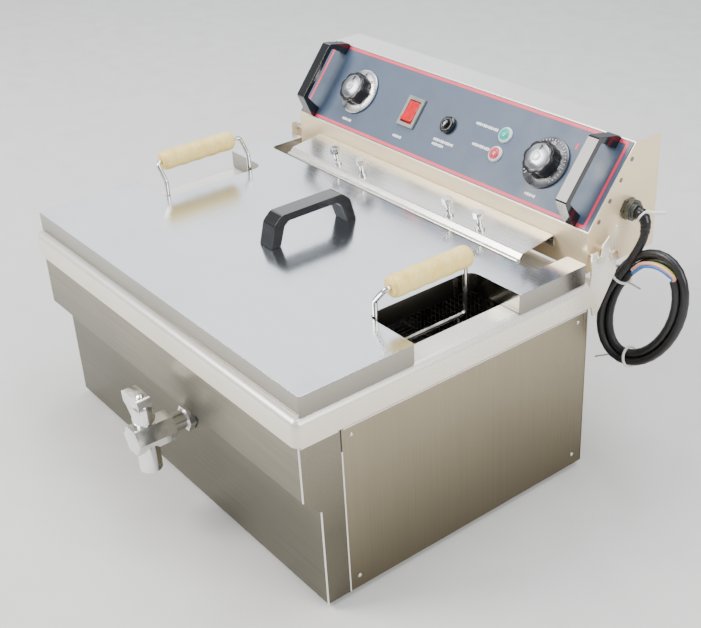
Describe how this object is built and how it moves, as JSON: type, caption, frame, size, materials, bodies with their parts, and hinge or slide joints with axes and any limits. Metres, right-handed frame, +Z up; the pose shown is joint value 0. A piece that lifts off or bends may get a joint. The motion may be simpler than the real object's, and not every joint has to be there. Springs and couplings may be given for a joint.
{
  "type": "deep fryer",
  "caption": "Counter-top electric deep fryer: steel casing, oil tank and drain tap, lift-off control head with heating elements, wire basket with two bails, and a loose notched lid.",
  "frame": {"origin": "bottom centre of the object's bounding box on the surface it stands on, cord left out", "axes": "+X to the right of a person facing the controls, -Y to the front where the tap is, +Z up"},
  "size_m": [0.6154, 0.5322, 0.374],
  "materials": {
    "rubber_foot": "matte",
    "casing_steel": "satin",
    "rim_steel": "satin",
    "lid_steel": "semi-mirror",
    "tap_chrome": "polished",
    "wire_chrome": "polished",
    "black_plastic": "glossy",
    "panel_print": "satin",
    "cream_grip": "satin",
    "rocker_red": "glossy",
    "lamp_green": "glossy",
    "lamp_red": "glossy",
    "element_steel": "dark",
    "inner_plastic": "matte",
    "cord_rubber": "satin"
  },
  "bodies": {
    "casing": {"foot_front_left": "rubber_foot", "foot_front_right": "rubber_foot", "foot_rear_left": "rubber_foot", "foot_rear_right": "rubber_foot", "base_plate": "casing_steel", "front_panel": "casing_steel", "side_panel_left": "casing_steel", "side_panel_right": "casing_steel", "back_panel": "casing_steel", "rim_frame": "rim_steel", "oil_tank": "casing_steel", "drain_pipe": "casing_steel", "tap_lock_nut": "tap_chrome", "tap_body": "tap_chrome"},
    "tap_valve": {"tap_plug": "tap_chrome", "tap_lever": "tap_chrome", "tap_lever_screw": "tap_chrome"},
    "control_head": {"head_shell": "casing_steel", "head_back_cover": "casing_steel", "head_screw_front_left": "tap_chrome", "head_screw_front_right": "tap_chrome", "head_screw_rear_left": "tap_chrome", "head_screw_rear_right": "tap_chrome", "panel_overlay": "panel_print", "timer": "inner_plastic", "thermostat": "inner_plastic", "switch_body": "black_plastic", "limiter_body": "tap_chrome", "power_pilot_lamp": "lamp_green", "heat_pilot_lamp": "lamp_red", "panel_handle_left": "black_plastic", "panel_handle_right": "black_plastic", "element_cover": "casing_steel", "element_bracket": "casing_steel", "cover_bolt_1": "tap_chrome", "cover_bolt_2": "tap_chrome", "cover_bolt_3": "tap_chrome", "cover_bolt_4": "tap_chrome", "heating_element_left": "element_steel", "heating_element_right": "element_steel", "thermostat_bulb": "tap_chrome", "limiter_bulb": "tap_chrome", "contactor": "inner_plastic", "terminal_block": "inner_plastic", "gland_body": "black_plastic", "gland_nut": "black_plastic", "supply_cord": "cord_rubber", "supply_cord_coil": "cord_rubber"},
    "timer_knob": {"timer_knob": "black_plastic"},
    "thermostat_knob": {"thermostat_knob": "black_plastic"},
    "power_rocker": {"power_rocker": "rocker_red"},
    "reset_button": {"reset_button": "black_plastic"},
    "basket": {"basket": "wire_chrome", "basket_bail_left": "wire_chrome", "basket_bail_right": "wire_chrome"},
    "grip_left": {"basket_grip_left": "cream_grip"},
    "grip_right": {"basket_grip_right": "cream_grip"},
    "lid": {"lid": "lid_steel", "lid_handle": "black_plastic"}
  },
  "joints": [
    {"name": "head_lift", "type": "slide", "parent": "casing", "child": "control_head", "axis": [0, 0, 1], "range_m": [0, 0.2]},
    {"name": "basket_lift", "type": "slide", "parent": "control_head", "child": "basket", "axis": [0, 0, 1], "range_m": [0, 0.2]},
    {"name": "lid_lift", "type": "slide", "parent": "basket", "child": "lid", "axis": [0, 0, 1], "range_m": [0, 0.2]},
    {"name": "grip_left_spin", "type": "hinge", "parent": "basket", "child": "grip_left", "pos_m": [-0.2145, -0.0154, 0.2925], "axis": [0, 1, 0], "continuous": true},
    {"name": "grip_right_spin", "type": "hinge", "parent": "basket", "child": "grip_right", "pos_m": [0.2145, -0.0154, 0.2925], "axis": [0, 1, 0], "continuous": true},
    {"name": "tap_turn", "type": "hinge", "parent": "casing", "child": "tap_valve", "pos_m": [0.022, -0.2491, 0.107], "axis": [0, 0, 1], "range_deg": [0, 90]},
    {"name": "timer_turn", "type": "hinge", "parent": "control_head", "child": "timer_knob", "pos_m": [-0.161, 0.19468, 0.32473], "axis": [0, 0.7793, -0.6266], "range_deg": [0, 270]},
    {"name": "thermostat_turn", "type": "hinge", "parent": "control_head", "child": "thermostat_knob", "pos_m": [0.161, 0.19468, 0.32473], "axis": [0, 0.7793, -0.6266], "range_deg": [0, 270]},
    {"name": "rocker_tip", "type": "hinge", "parent": "control_head", "child": "power_rocker", "pos_m": [-0.0603, 0.19406, 0.32395], "axis": [1, 0, 0], "range_deg": [0, 16]},
    {"name": "reset_press", "type": "slide", "parent": "control_head", "child": "reset_button", "axis": [0, 0.7793, -0.6266], "range_m": [0, 0.003], "stiffness_N_per_m": 300, "springref_m": -0.002}
  ]
}
